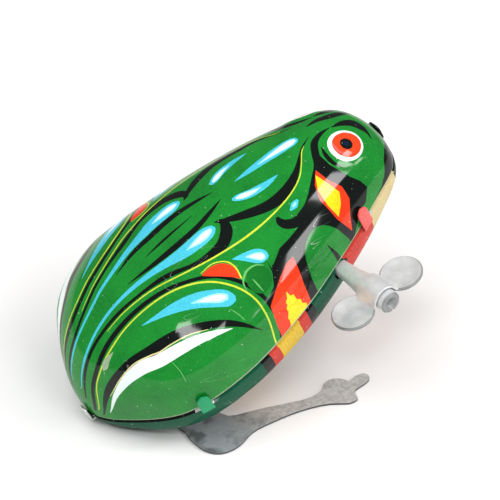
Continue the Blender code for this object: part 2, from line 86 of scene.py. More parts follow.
# Tabs: (degrees along the body from the tail, side, width, height).
TABS = ((0, -1, 2.6, 2.0), (51.5, -1, 2.7, 2.8), (51.5, 1, 2.7, 2.8), (126, -1, 3.0, 3.8),
        (126, 1, 3.0, 3.8), (180, -1, 3.4, 2.0))
TAB_GAP = 0.4
TAB_TIN = 0.4

# Points nearer than this are welded.
MERGE = 0.002

# Print: spacing of the skin's points and of the points along a printed edge, and the
# millimetres that a radian along and round the body is taken as while a sheet is flat.
GRID = 1.25
EDGE_STEP = 0.45
ALONG_SCALE = 26.0
ROUND_SCALE = 22.0
DISC_SIDES = 36

# Camera: a long lens, aimed near the middle of the body from its right and behind.
CAMERA_AZIMUTH = math.radians(-37.87)
CAMERA_ELEVATION = math.radians(34.77)
CAMERA_ROLL = math.radians(-0.41)
CAMERA_DISTANCE = 490.0
CAMERA_AIM = (3.1, 0.6, 25.55)
CAMERA_LENS = 180.0
LAMP_DISTANCE = 0.9


# ------------------------------------------------------------------ frames

def body_frame():
    """Matrix from the body frame to the row frame, from the key's and the legs' axes."""
    key = Vector(JOINTS["key_wind"]["pos_m"]) / MM
    legs = Vector(JOINTS["leg_swing"]["pos_m"]) / MM
    drawn = Vector((KEY_AXIS[0] - LEG_AXIS[0], KEY_AXIS[1] - LEG_AXIS[1]))
    stands = Vector((key.x - legs.x, key.z - legs.z))
    pitch = math.atan2(stands.y, stands.x) - math.atan2(drawn.y, drawn.x)
    turn = Matrix.Rotation(-pitch, 4, "Y")
    tail = key - turn @ Vector((KEY_AXIS[0], 0, KEY_AXIS[1]))
    return Matrix.Translation(tail) @ turn


BODY = body_frame()
BODY_TURN = np.array(BODY.to_3x3())
BODY_PLACE = np.array(BODY.translation)


def to_row(points):
    """Body-frame millimetres to row-frame metres."""
    return (np.asarray(points, float) @ BODY_TURN.T + BODY_PLACE) * MM


# ------------------------------------------------------------------ shell surfaces

def station_value(values, phi):
    """Smooth curve through evenly spaced stations (Catmull-Rom), for arrays of phi."""
    knots = np.array(values, float)
    last = len(knots) - 1
    t = np.clip(phi / math.pi, 0, 1) * last
    i = np.minimum(t.astype(int), last - 1)
    f = t - i
    p1, p2 = knots[i], knots[i + 1]
    p0 = np.where(i > 0, knots[np.maximum(i - 1, 0)], 2 * p1 - p2)
    p3 = np.where(i + 2 <= last, knots[np.minimum(i + 2, last)], 2 * p2 - p1)
    slope1, slope2 = (p2 - p0) / 2, (p3 - p1) / 2
    return ((2 * f**3 - 3 * f**2 + 1) * p1 + (f**3 - 2 * f**2 + f) * slope1
            + (3 * f**2 - 2 * f**3) * p2 + (f**3 - f**2) * slope2)


def super_section(theta, power):
    c, s = np.cos(theta), np.sin(theta)
    return -np.sign(c) * np.abs(c) ** (2 / power), np.abs(s) ** (2 / power)


def dome(phi, theta):
    """Outer surface of the upper shell."""
    x = (1 - np.cos(phi)) / 2 * LENGTH
    side, up = super_section(theta, station_value(DOME_POWER, phi))
    y = side * station_value(HALF_WIDTH, phi)
    z = up * station_value(DOME_HEIGHT, phi)
    angle = np.minimum(np.degrees(theta), 180 - np.degrees(theta))
    height = np.zeros_like(x)
    for centre_x, centre_a, half_x, half_a, rise in RELIEFS:
        d = np.hypot((x - centre_x) / half_x, (angle - centre_a) / half_a)
        height += np.where(d < 1, rise * (1 - np.minimum(d, 1) ** 2) ** 2, 0)
    grow = 1 + height / np.maximum(np.hypot(y, z), 0.01)
    return np.stack([x, y * grow, z * grow + station_value(SEAM_LIFT, phi)], -1)


def pan(phi, theta):
    """Outer surface of the lower shell below its step."""
    x = (1 - np.cos(phi)) / 2 * LENGTH
    side, down = super_section(theta, PAN_POWER)
    wide = station_value(HALF_WIDTH, phi) * (1 + STEP_OUT / max(HALF_WIDTH))
    depth = np.maximum(station_value(PAN_DEPTH, phi) - STEP_DOWN, 0)
    z = station_value(SEAM_LIFT, phi) - STEP_DOWN - down * depth
    return np.stack([x, side * wide, z], -1)


def slopes(surface, phi, theta):
    """Derivatives of a surface along phi and theta, and its unit normal."""
    e = 1e-3
    phi = np.clip(phi, 0.02, math.pi - 0.02)
    theta = np.clip(theta, 0.01, math.pi - 0.01)
    along = (surface(phi + e, theta) - surface(phi - e, theta)) / (2 * e)
    round_ = (surface(phi, theta + e) - surface(phi, theta - e)) / (2 * e)
    normal = np.cross(along, round_)
    normal /= np.maximum(np.linalg.norm(normal, axis=-1, keepdims=True), 1e-9)
    return along, round_, normal


# ------------------------------------------------------------------ drawing on a surface

def to_angles(x, t):
    """(phi, theta) in radians of a place given as (x in mm, t in degrees)."""
    return math.acos(1 - 2 * min(max(x, 0.0), LENGTH) / LENGTH), math.radians(t)


def spline(points, step=EDGE_STEP / 25, closed=False):
    """Catmull-Rom curve through points of any size, sampled about every step."""
    pts = [np.array(p, float) for p in points]
    count = len(pts)
    out = []
    for i in range(count if closed else count - 1):
        p1, p2 = pts[i], pts[(i + 1) % count]
        p0 = pts[i - 1] if i > 0 or closed else 2 * p1 - p2
        p3 = pts[(i + 2) % count] if i + 2 < count or closed else 2 * p2 - p1
        pieces = max(2, int(np.linalg.norm((p2 - p1)[:2]) / step))
        for k in range(pieces):
            f = k / pieces
            out.append(0.5 * (2 * p1 + (p2 - p0) * f + (2 * p0 - 5 * p1 + 4 * p2 - p3) * f**2
                              + (3 * p1 - p0 - 3 * p2 + p3) * f**3))
    if not closed:
        out.append(pts[-1])
    return np.array(out)


def stroke(points):
    """Outline of a brush stroke on the dome: (x, t, width in mm) along its middle line."""
    line = spline([(*to_angles(x, t), w) for x, t, w in points])
    phi, theta, half = line[:, 0], line[:, 1], np.maximum(line[:, 2], 0.08) / 2
    along, round_, normal = slopes(dome, phi, theta)
    tangent = along * np.gradient(phi)[:, None] + round_ * np.gradient(theta)[:, None]
    tangent /= np.maximum(np.linalg.norm(tangent, axis=1, keepdims=True), 1e-9)
    across = np.cross(normal, tangent)
    uu, vv = (along * along).sum(1), (round_ * round_).sum(1)
    uv = (along * round_).sum(1)
    au, av = (across * along).sum(1), (across * round_).sum(1)
    det = np.maximum(uu * vv - uv * uv, 1e-6)
    step_phi = (au * vv - av * uv) / det * half
    step_theta = (av * uu - au * uv) / det * half
    near = np.stack([phi + step_phi, theta + step_theta], 1)
    far = np.stack([phi - step_phi, theta - step_theta], 1)
    return np.concatenate([near, far[::-1]])


def shape(points):
    """Closed smooth outline through (x, t) points."""
    return spline([to_angles(x, t) for x, t in points], closed=True)


def corners(points):
    """Closed outline with straight sides between (x, t) corners."""
    pts = [np.array(to_angles(x, t)) for x, t in points]
    out = []
    for a, b in zip(pts, pts[1:] + pts[:1]):
        pieces = max(1, int(np.linalg.norm(b - a) * 25 / EDGE_STEP))
        out += [a + (b - a) * k / pieces for k in range(pieces)]
    return np.array(out)


def disc(x, t, radius, squash=1.0):
    """Ellipse lying on the dome round (x, t): its radius in mm along the body, and how
    much of that it has round the section."""
    phi, theta = (np.array([v]) for v in to_angles(x, t))
    along, round_, _ = slopes(dome, phi, theta)
    u, v = np.linalg.norm(along), np.linalg.norm(round_)
    out = []
    for k in range(DISC_SIDES):
        a = math.tau * k / DISC_SIDES
        p, q = radius * math.cos(a), radius * squash * math.sin(a)
        out.append((phi[0] + p / u, theta[0] + q / v))
    return np.array(out)


def mirrored(outline, drift=((0, LENGTH), (0, 0))):
    """The same outline on the far side, lower by a drift in degrees that depends on x."""
    x = (1 - np.cos(outline[:, 0])) / 2 * LENGTH
    lower = np.radians(np.interp(x, *drift))
    return np.stack([outline[:, 0], math.pi - outline[:, 1] + lower], 1)[::-1]


def inside(points, outline):
    """Even-odd test of many points against one closed outline."""
    x, y = points[:, 0], points[:, 1]
    hit = np.zeros(len(points), bool)
    low, high = outline.min(0), outline.max(0)
    near = (x >= low[0]) & (x <= high[0]) & (y >= low[1]) & (y <= high[1])
    px, py = x[near], y[near]
    odd = np.zeros(len(px), bool)
    for (ax, ay), (bx, by) in zip(outline, np.roll(outline, -1, 0)):
        if ay == by:
            continue
        crosses = (ay > py) != (by > py)
        odd ^= crosses & (px < (bx - ax) * (py - ay) / (by - ay) + ax)
    hit[near] = odd
    return hit


def printed_skin(name, surface, prints, holes, inks, outward):
    """A tin sheet whose faces carry the inks of the prints laid over each other.

    The prints are pairs of an ink and an outline, from the bottom up. The holes are
    outlines to cut out.
    """
    scale = np.array([ALONG_SCALE, ROUND_SCALE])
    top = np.array([math.pi, math.pi]) * scale
    outlines = [np.clip(outline * scale, 0, top) for _, outline in prints]
    outlines += [np.clip(outline * scale, 0, top) for outline in holes]
    count = [max(2, round(side / GRID)) for side in top]
    rows = np.linspace(0, top[0], count[0] + 1)
    columns = np.linspace(0, top[1], count[1] + 1)
    grid = np.array([(u, v) for u in rows for v in columns])
    drawn = np.concatenate(outlines)
    inner = ((grid > 1e-6) & (grid < top - 1e-6)).all(1)
    taken = {tuple(c) for c in np.round(drawn / EDGE_STEP).astype(int)}
    keep = [not within or tuple(c) not in taken
            for within, c in zip(inner, np.round(grid / EDGE_STEP).astype(int))]
    grid = grid[np.array(keep)]
    verts = [Vector(p) for p in grid]
    edges = []
    for outline in outlines:
        start = len(verts)
        verts += [Vector(p) for p in outline]
        edges += [(start + k, start + (k + 1) % len(outline)) for k in range(len(outline))]
    found, _, faces, *_ = delaunay_2d_cdt(verts, edges, [], 0, 1e-4)
    flat = np.array([tuple(v) for v in found])
    flat = np.clip(flat, 0, top)
    faces = np.array([f[:] for f in faces])
    middle = flat[faces].mean(1)
    ink_of = np.zeros(len(faces), int)
    for (ink, _), outline in zip(prints, outlines):
        ink_of[inside(middle, outline)] = inks.index(ink)
    cut = np.zeros(len(faces), bool)
    for outline in outlines[len(prints):]:
        cut |= inside(middle, outline)
    faces, ink_of = faces[~cut], ink_of[~cut]
    return build_skin(name, surface, flat / scale, faces, ink_of, inks, outward)


def build_skin(name, surface, angles, faces, ink_of, inks, outward):
    """Closed sheet mesh: printed outside, bare inside, cut edges between them."""
    phi, theta = angles[:, 0], angles[:, 1]
    points = surface(phi, theta)
    normal = slopes(surface, phi, theta)[2] * outward
    same = np.arange(len(phi))
    for where in (phi < 1e-6, phi > math.pi - 1e-6):
        index = np.flatnonzero(where)
        if len(index):
            same[index] = index[0]
            normal[index] = (np.sign(points[index[0], 0] - LENGTH / 2), 0, 0)
    faces = same[faces]
    good = (faces[:, 0] != faces[:, 1]) & (faces[:, 1] != faces[:, 2]) & (faces[:, 0] != faces[:, 2])
    faces, ink_of = faces[good], ink_of[good]
    a, b, c = (points[faces[:, k]] for k in range(3))
    facing = (np.cross(b - a, c - a) * normal[faces[:, 0]]).sum(1)
    faces[facing < 0] = faces[facing < 0][:, ::-1]
    used = np.unique(faces)
    number = np.full(len(phi), -1)
    number[used] = np.arange(len(used))
    faces = number[faces]
    points, normal = points[used], normal[used]
    size = len(points)
    edge_count = {}
    for face in faces:
        for k in range(3):
            p, q = int(face[k]), int(face[(k + 1) % 3])
            edge_count.setdefault((min(p, q), max(p, q)), []).append((p, q))
    rim = [pairs[0] for pairs in edge_count.values() if len(pairs) == 1]
    everything = [tuple(int(i) for i in f) for f in faces]
    everything += [tuple(int(i) + size for i in f[::-1]) for f in faces]
    everything += [(q, p, p + size, q + size) for p, q in rim]
    all_points = np.concatenate([points, points - normal * TIN])
    mesh = bpy.data.meshes.new(name)
    mesh.from_pydata(to_row(all_points), [], everything)
    bare = len(inks) - 1
    slots = list(ink_of) + [bare] * (len(faces) + len(rim))
    mesh.polygons.foreach_set("material_index", slots)
    mesh.shade_smooth()
    turned = normal @ BODY_TURN.T
    loops = [turned[i] for f in faces for i in f] + [-turned[i] for f in faces for i in f[::-1]]
    flat_normals = [tuple(p.normal) for p in mesh.polygons[2 * len(faces):]]
    loops += [n for n in flat_normals for _ in range(4)]
    mesh.normals_split_custom_set([tuple(n) for n in loops])
    return mesh


# ------------------------------------------------------------------ materials

class Nodes:
    """Small helper round a material's node tree."""

    def __init__(self, name):
        self.material = bpy.data.materials.new(name)
        self.material.use_nodes = True
        self.tree = self.material.node_tree
        self.shader = self.tree.nodes["Principled BSDF"]
        self.coords = self.tree.nodes.new("ShaderNodeTexCoord").outputs["Object"]

    def link(self, value, socket):
        self.tree.links.new(value, socket)

    def scaled(self, factors):
        made = self.tree.nodes.new("ShaderNodeMapping")
        made.inputs["Scale"].default_value = factors
        self.link(self.coords, made.inputs["Vector"])
        return made.outputs["Vector"]

    def noise(self, scale, detail=2.0, coords=None, distortion=0.0):
        made = self.tree.nodes.new("ShaderNodeTexNoise")
        made.inputs["Scale"].default_value = scale
        made.inputs["Detail"].default_value = detail
        made.inputs["Distortion"].default_value = distortion
        self.link(coords or self.coords, made.inputs["Vector"])
        return made.outputs["Fac"]

    def cells(self, scale):
        made = self.tree.nodes.new("ShaderNodeTexVoronoi")
        made.inputs["Scale"].default_value = scale
        self.link(self.coords, made.inputs["Vector"])
        return made.outputs["Distance"]

    def remap(self, value, low, high, out_low=0.0, out_high=1.0):
        made = self.tree.nodes.new("ShaderNodeMapRange")
        made.inputs["From Min"].default_value = low
        made.inputs["From Max"].default_value = high
        made.inputs["To Min"].default_value = out_low
        made.inputs["To Max"].default_value = out_high
        self.link(value, made.inputs["Value"])
        return made.outputs["Result"]

    def maths(self, operation, a, b):
        made = self.tree.nodes.new("ShaderNodeMath")
        made.operation = operation
        for socket, value in zip(made.inputs, (a, b)):
            if isinstance(value, (int, float)):
                socket.default_value = value
            else:
                self.link(value, socket)
        return made.outputs["Value"]

    def mix(self, factor, a, b):
        made = self.tree.nodes.new("ShaderNodeMix")
        made.data_type = "RGBA"
        for socket, value in ((made.inputs["Factor"], factor), (made.inputs["A"], a),
                              (made.inputs["B"], b)):
            if isinstance(value, tuple):
                socket.default_value = (*value, 1.0)
            elif isinstance(value, (int, float)):
                socket.default_value = value
            else:
                self.link(value, socket)
        return made.outputs["Result"]

    def bump(self, heights):
        """Bumps in a chain: (height, strength, distance in mm)."""
        normal = None
        for height, strength, distance in heights:
            made = self.tree.nodes.new("ShaderNodeBump")
            made.inputs["Strength"].default_value = strength
            made.inputs["Distance"].default_value = distance * MM
            self.link(height, made.inputs["Height"])
            if normal:
                self.link(normal, made.inputs["Normal"])
            normal = made.outputs["Normal"]
        self.link(normal, self.shader.inputs["Normal"])


def litho(name, colour, deep, coat):
    """Printed and varnished tin: grainy ink, specks, fine scratches and a glossy coat."""
    n = Nodes("litho_" + name)
    tone = n.remap(n.noise(160, 3), 0.3, 0.7)
    base = n.mix(tone, deep, colour)
    grain = n.remap(n.noise(2600, 2), 0.35, 0.7, 0.0, 0.42)
    base = n.mix(grain, base, tuple(min(1.0, c * 1.4) for c in colour))
    speck = n.remap(n.noise(2100, 1), 0.775, 0.79)
    base = n.mix(speck, base, (0.62, 0.66, 0.6))
    hair = n.noise(420, 1, n.scaled((0.12, 1.0, 1.0)), 0.4)
    scratch = n.remap(n.maths("ABSOLUTE", n.maths("SUBTRACT", hair, 0.64), 0), 0.0035, 0.0015)
    patch = n.remap(n.noise(95, 1), 0.58, 0.66, 0.0, 0.6)
    base = n.mix(n.maths("MULTIPLY", scratch, patch), base, (0.66, 0.7, 0.62))
    n.link(base, n.shader.inputs["Base Color"])
    n.link(n.remap(n.noise(700, 2), 0.3, 0.7, 0.2, 0.34), n.shader.inputs["Roughness"])
    n.shader.inputs["Specular IOR Level"].default_value = 0.0
    n.shader.inputs["Coat Weight"].default_value = coat
    n.shader.inputs["Coat Roughness"].default_value = 0.07
    n.bump([(n.noise(34, 2), 0.5, 0.35), (n.noise(420, 2), 0.25, 0.03)])
    return n.material


def tin(name, colour, rough=(0.22, 0.42), spangle=0.18, smudge=(0.3, 0.3, 0.3), bump=0.05,
        grain=(1.0, 1.0, 1.0), metallic=0.9):
    """Bare or plated sheet metal: soft spangle, brushed grain, smudges and fine dents."""
    n = Nodes(name)
    spots = n.remap(n.cells(420), 0.1, 0.8)
    base = n.mix(n.maths("MULTIPLY", spots, spangle), colour, tuple(c * 0.55 for c in colour))
    brushed = n.noise(1500, 3, n.scaled(grain))
    base = n.mix(n.remap(brushed, 0.35, 0.7, 0.0, 0.25), base, tuple(min(1, c * 1.2) for c in colour))
    dirt = n.remap(n.noise(130, 4), 0.56, 0.74, 0.0, 0.55)
    base = n.mix(dirt, base, smudge)
    n.link(base, n.shader.inputs["Base Color"])
    n.shader.inputs["Metallic"].default_value = metallic
    n.link(n.remap(n.noise(330, 3), 0.3, 0.7, *rough), n.shader.inputs["Roughness"])
    n.bump([(n.noise(120, 2), 0.6, bump * 4), (brushed, 0.3, bump)])
    return n.material


# Printed inks, and a few colours that paint shade and reflection on the sheet: (colour, deeper colour), linear.
LITHO_INKS = {
    "green": ((0.01, 0.235, 0.026), (0.007, 0.155, 0.02)),
    # A darker green: painted shade of a raised fold on the flank.
    "lobe_shade": ((0.007, 0.16, 0.017), (0.005, 0.12, 0.015)),
    # A light green: scratches, and painted reflection along the edge of a fold on the flank.
    "mint_scratch_and_sheen": ((0.14, 0.45, 0.13), (0.1, 0.38, 0.1)),
    "black": ((0.004, 0.007, 0.006), (0.003, 0.004, 0.004)),
    "red": ((0.86, 0.05, 0.012), (0.75, 0.03, 0.008)),
    "rose": ((0.76, 0.12, 0.11), (0.68, 0.08, 0.07)),
    "flame": ((0.93, 0.7, 0.015), (0.92, 0.52, 0.01)),
    "yellow": ((0.6, 0.68, 0.05), (0.45, 0.58, 0.035)),
    "blue": ((0.07, 0.52, 0.7), (0.05, 0.45, 0.56)),
    "pale": ((0.36, 0.74, 0.86), (0.3, 0.68, 0.82)),
    "white": ((0.82, 0.93, 0.9), (0.74, 0.88, 0.84)),
    "butter": ((0.78, 0.7, 0.36), (0.66, 0.58, 0.22)),
    "iris": ((0.87, 0.055, 0.012), (0.8, 0.04, 0.01)),
    "navy": ((0.005, 0.012, 0.04), (0.004, 0.01, 0.03)),
    # Pale green of rubbed paint, also used as the painted highlight along the dome's cut edge.
    "wear_and_edge_sheen": ((0.32, 0.42, 0.27), (0.24, 0.36, 0.2)),
    "teal": ((0.007, 0.09, 0.045), (0.005, 0.06, 0.03)),
    "brick": ((0.56, 0.055, 0.04), (0.46, 0.04, 0.03)),
    "emerald": ((0.012, 0.32, 0.13), (0.01, 0.26, 0.1)),
    "cream": ((0.6, 0.5, 0.26), (0.52, 0.4, 0.2)),
    "ochre": ((0.66, 0.46, 0.05), (0.6, 0.38, 0.04)),
}
# The pan has less varnish than the dome.
DULL = {"teal": 0.35, "ochre": 0.35, "cream": 0.35, "brick": 0.35}
INKS = {ink: litho(ink, *colours, coat=DULL.get(ink, 0.65)) for ink, colours in LITHO_INKS.items()}
BARE = tin("bare_tin", (0.72, 0.74, 0.7), (0.25, 0.45))
INK_ORDER = [*LITHO_INKS, "bare"]


def dress(mesh):
    """Gives a printed skin all the inks, in the order of its material numbers."""
    for ink in LITHO_INKS:
        mesh.materials.append(INKS[ink])
    mesh.materials.append(BARE)


def piece(name, mesh, body, slot, *nodes):
    """A finished piece that rides on a body and stands for CAD nodes."""
    made = bpy.data.objects.new(name, mesh)
    bpy.context.scene.collection.objects.link(made)
    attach(made, body)
    if nodes:
        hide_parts(*nodes)
    return made


# ------------------------------------------------------------------ print of the dome

SIDE_PRINTS = [
    # long flowing lines of the back
    ("black", stroke([(45, 87, 0.1), (41.5, 85, 0.9), (37, 83.3, 1.3), (31.5, 83.5, 1.4),
                      (26, 85, 1.0), (20.5, 88, 0.1)])),
    ("blue", stroke([(39.6, 77.5, 0.9), (38.6, 77, 2.5), (36.5, 77, 3.3), (32, 78, 2.8), (27, 81, 1.6),
                     (20, 85.2, 0.9), (14, 87.5, 0.7), (9, 87.5, 0.6), (4.5, 85, 0.5), (1.5, 80, 0.2)])),
    ("pale", stroke([(39, 77.2, 0.5), (37.7, 76.9, 1.7), (35.5, 77, 1.6), (32.6, 77.8, 0.1)])),
    ("white", stroke([(38.6, 77.1, 0.4), (37.5, 76.9, 1.1), (36, 77, 0.9), (33.6, 77.4, 0.1)])),
    ("black", stroke([(66.8, 85, 0.1), (64.3, 80.5, 0.4), (62.2, 75, 0.6), (59.6, 68.5, 1.1),
                      (56.3, 63.5, 2.0), (53, 62, 2.4), (49.5, 64, 2.2), (45.5, 69.5, 1.9),
                      (42.5, 74.5, 1.2), (40.3, 78.8, 0.2)])),
    ("black", stroke([(40.6, 78.6, 0.3), (41.5, 75.5, 1.6), (40.6, 70, 2.4), (38, 66, 2.3),
                      (34.5, 66.5, 1.7), (31, 69.5, 0.9), (26, 75.5, 1.1), (20.5, 79.5, 0.7),
                      (15.5, 82.5, 0.8), (11, 84, 0.8), (7, 83.5, 0.8), (4, 80, 0.8), (2, 74, 0.6),
                      (0.8, 66, 0.4)])),
    ("yellow", stroke([(64.5, 80, 0.1), (63.2, 77, 0.2), (61, 69, 0.2), (58.5, 62.5, 0.24),
                       (54.5, 58.5, 0.28), (49, 57.5, 0.34), (43, 59, 0.4), (36.5, 63, 0.36),
                       (30, 68.5, 0.32), (22.5, 76, 0.28), (16, 80.5, 0.2), (11.5, 82, 0.1)])),
    # thigh
    ("black", stroke([(0.5, 25, 0.7), (2, 55, 0.9), (5, 69, 1.0), (8.5, 75.5, 1.1), (12.5, 77, 1.1),
                      (17.5, 75.5, 1.0), (23, 71.5, 0.9), (27.5, 66, 0.8), (32, 57.5, 0.8),
                      (34.8, 46, 0.8), (36.2, 34, 0.9), (36.6, 22, 0.8), (35.8, 9, 0.7),
                      (34.2, -2, 0.6)])),
    ("yellow", stroke([(1, 25, 0.2), (2.8, 54, 0.26), (5.6, 66.5, 0.3), (8.8, 72, 0.32),
                       (13.6, 74, 0.3), (20, 71.5, 0.32), (26, 66, 0.36), (30.7, 57, 0.38),
                       (33.7, 44.5, 0.38), (35, 31, 0.38), (34.6, 17, 0.38), (33.2, 3, 0.4),
                       (32.8, -2, 0.4)])),
    ("blue", stroke([(16.3, 67.5, 0.1), (19.5, 64, 1.0), (23, 60, 2.1), (26.5, 54.5, 3.0),
                     (29.5, 47.5, 3.4), (31.3, 42, 2.9), (32.3, 39.5, 0.9)])),
    ("pale", stroke([(25.5, 55.5, 0.1), (28, 50.8, 1.3), (30, 46.3, 1.9), (31.4, 43.3, 1.0)])),
    ("white", stroke([(26.8, 53, 0.1), (28.6, 49.5, 0.9), (30, 46.5, 1.1), (31, 44.4, 0.5)])),
    ("black", stroke([(1, 8, 0.2), (2.3, 32, 0.9), (4.8, 48, 1.6), (9.3, 55.5, 1.9), (14, 53, 2.3),
                      (18.5, 50, 2.0), (22.5, 44.5, 1.7), (26.5, 36.5, 1.4), (29.5, 27, 1.0),
                      (32.2, 14, 0.1)])),
    ("white", stroke([(2, 14, 0.1), (4, 34, 0.9), (7, 45.5, 1.8), (10.5, 48.5, 2.5),
                      (14, 45, 2.5), (18, 42, 2.3), (21.5, 38.5, 1.8), (24.5, 34.5, 1.2),
                      (27.8, 29, 0.1)])),
    ("butter", stroke([(3.7, 38, 0.1), (6.5, 49, 0.22), (10, 54, 0.26), (13.3, 51.5, 0.26),
                       (15, 49, 0.26), (17.5, 47.5, 0.22), (21.1, 44, 0.18), (24.3, 38.5, 0.1)])),
    # flank
    ("red", stroke([(30.9, 61.7, 0.3), (32.4, 59.7, 1.8), (34.1, 56.5, 2.6), (35.2, 52, 2.3),
                    (35.7, 45.5, 0.4)])),
    ("yellow", stroke([(30.9, 63, 0.12), (33.8, 62.3, 0.22), (35.9, 58, 0.25), (36.5, 52, 0.3),
                       (35.8, 44.5, 0.3)])),
    ("blue", stroke([(37.2, 56, 0.1), (39, 52.3, 1.5), (41, 47.3, 2.8), (42.2, 43.5, 2.2),
                     (42.5, 41.5, 0.7)])),
    ("pale", stroke([(39.3, 51.6, 0.1), (40.6, 48.2, 1.2), (41.7, 44.8, 1.6), (42.2, 43, 0.7)])),
    ("white", stroke([(39.9, 50.2, 0.1), (40.9, 47.4, 0.8), (41.7, 44.8, 1.0), (42, 43.6, 0.5)])),
    ("black", stroke([(49.6, 54.3, 0.5), (49.3, 51.5, 1.5), (49.8, 47, 1.9), (52, 42.8, 2.0),
                      (55.3, 43.8, 1.8), (57.5, 49, 0.6)])),
    ("black", stroke([(71.6, 82.5, 0.1), (69, 81.3, 0.9), (66.6, 77, 1.4), (64.9, 69, 1.6),
                      (63.3, 60, 1.7), (60.6, 53.5, 1.6), (57.5, 47, 1.4), (55.5, 41, 0.9)])),
    ("black", corners([(65.2, 66), (61, 57.5), (57, 47), (55, 41), (52, 40), (48.5, 39.5),
                       (45.5, 40), (43, 37), (41.6, 35.5), (41.8, 40), (41, 33), (39.5, 27),
                       (37.5, 25), (36.2, 25), (35.8, 12), (34, -3), (58, -3), (61.5, 4),
                       (63.8, 10), (66, 9), (68.3, 17), (67.8, 26), (66.6, 36), (66, 43),
                       (65.2, 54)])),
    # A darker green disc: painted shade of a raised fold on the flank.
    ("lobe_shade", disc(38.3, 36.6, 2.7)),
    # Light green strokes round the disc: painted reflection along the fold's edge. The light green line across it
    # is partly a scratch and partly painted reflection.
    ("mint_scratch_and_sheen", stroke([(34.9, 37.5, 0.1), (35.5, 42.4, 0.34), (37.5, 45.4, 0.4), (39.6, 44, 0.3),
                     (40.8, 40.3, 0.1)])),
    ("mint_scratch_and_sheen", stroke([(37.3, 39.7, 0.12), (37.3, 35, 0.32), (37.3, 29.9, 0.12)])),
    ("black", stroke([(42.1, 36.5, 0.3), (42, 31.5, 1.2), (41, 26.8, 1.5), (39.3, 22.8, 1.5),
                      (36.5, 20.5, 1.0)])),
    ("green", shape([(53.1, 31), (55.2, 28), (56.8, 21), (57.8, 11), (58.1, -3), (53, -4),
                     (47.1, -3), (46.6, 6), (47.5, 17), (48.9, 25.5), (51, 30)])),
    ("black", stroke([(53.6, 16, 0.1), (53.9, 9, 0.7), (54.1, 3, 1.1), (54, -2, 0.8)])),
    ("red", corners([(46.4, 30), (45.7, 22), (44.7, 12), (43.8, -3), (34.5, -3), (35.2, 8),
                     (36.4, 20), (39, 24), (41.5, 27.5), (44.3, 30.5)])),
    ("flame", corners([(40.8, 18.5), (41, 14.5), (41.7, 13.5), (41.6, 9.5), (42.4, 7.5),
                       (42.2, 4.5), (43, 2), (42.2, -3), (37, -3), (38, 3.5), (37.9, 5.5),
                       (38.8, 8.5), (38.7, 10.5), (39.4, 12), (39.4, 14), (40.1, 15)])),
    ("red", corners([(62.2, 58.5), (62.6, 47), (63.9, 35), (63.5, 24), (61.5, 15), (59.9, 5),
                     (58.6, 22), (58.4, 41), (59.8, 51)])),
    ("flame", corners([(61.4, 56), (62, 46), (62.7, 34), (61.3, 27), (59.2, 22), (58.9, 34),
                       (59.5, 47)])),
    ("blue", stroke([(52.4, 51, 0.2), (53.8, 51.7, 1.4), (55.1, 52.6, 0.4)])),
    ("pale", stroke([(53.2, 51.4, 0.1), (53.9, 51.8, 0.6), (54.5, 52.2, 0.1)])),
    # eye
    ("black", stroke([(71.8, 81.8, 0.3), (74.2, 80, 1.6), (75.8, 75, 2.3), (76.4, 65, 2.0),
                      (76.4, 55, 0.8), (76, 46, 0.2)])),
    ("black", stroke([(66.8, 70, 0.2), (66.1, 62, 0.9), (66, 54, 0.9), (66.7, 46, 0.2)])),
    ("white", disc(71, 58.1, 3.85, squash=0.94)),
    ("iris", disc(71.2, 57.8, 3.15, squash=0.93)),
    # The paler rose crescent on the iris is a painted reflection.
    ("rose", stroke([(69.1, 67, 0.2), (68.7, 61.5, 0.45), (68.7, 56, 0.5), (69.5, 51, 0.2)])),
    ("black", disc(71, 58.2, 1.3)),
    ("navy", disc(71, 58.2, 0.55)),
    # lip
    ("black", corners([(79.9, 85), (79.5, 50), (79, 34), (78.3, 27), (76.6, 25.5), (75, 20),
                       (73.3, 9), (71, 2.5), (68, 1.2), (68, -3), (80, -3), (80, 85)])),
    # shoulder drop
    ("blue", stroke([(46.2, 82, 0.5), (47.3, 80.5, 1.7), (49.5, 77.5, 1.9), (52.5, 75.5, 1.5),
                     (54.5, 75, 0.9), (56.2, 75, 0.1)])),
    ("pale", stroke([(46.8, 81.2, 0.4), (48, 79.7, 1.3), (50, 77.4, 1.1), (52, 76, 0.1)])),
    ("white", stroke([(47, 81, 0.4), (48, 79.7, 0.9), (49.6, 77.7, 0.7), (51.2, 76.5, 0.1)])),
    # cut edge of the sheet: a pale band, partly the bare cut edge and partly a painted highlight along it
    ("wear_and_edge_sheen", corners([(0.4, -3), (79.6, -3), (79.6, 0.5), (0.4, 0.5)])),
]
MIDDLE_PRINTS = [
    ("black", stroke([(38.7, 90, 0.1), (34.5, 90, 0.6), (30.5, 90, 0.8), (26.5, 90, 0.1)])),
    ("blue", stroke([(65, 90, 0.9), (64.2, 90, 2.4), (62.5, 90, 3.1), (59.5, 90, 3.2),
                     (56, 90, 2.5), (52.5, 90, 1.5), (49.6, 90, 0.1)])),
    ("pale", stroke([(64.6, 90, 0.8), (63.2, 90, 2.1), (60.5, 90, 1.8), (57.5, 90, 0.9),
                     (55.3, 90, 0.1)])),
    ("white", stroke([(64.4, 90, 0.6), (63.2, 90, 1.6), (61, 90, 1.3), (58.3, 90, 0.5),
                      (56.6, 90, 0.1)])),
]
